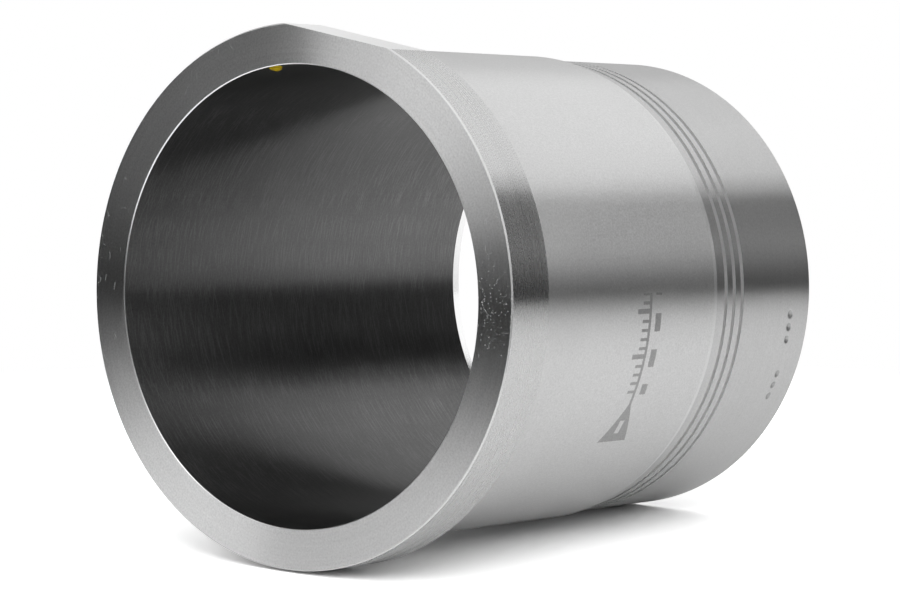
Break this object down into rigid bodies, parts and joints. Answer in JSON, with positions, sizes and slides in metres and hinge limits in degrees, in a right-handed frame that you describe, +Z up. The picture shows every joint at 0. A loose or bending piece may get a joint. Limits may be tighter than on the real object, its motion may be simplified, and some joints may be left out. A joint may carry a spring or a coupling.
{
  "type": "cylinder liner",
  "caption": "Flanged wet cylinder liner turned from iron, with a flat on its flange, a stepped outside with narrow seal grooves, and a honed bore.",
  "frame": {"origin": "centre of the lower end, on the bore's axis", "axes": "+Z up the bore to the deck face, +X out through the flat on the flange"},
  "size_m": [0.115, 0.117, 0.122],
  "materials": {
    "machined_iron": "turned and honed, bare metal"
  },
  "bodies": {
    "root": {"liner": "machined_iron"}
  },
  "joints": []
}
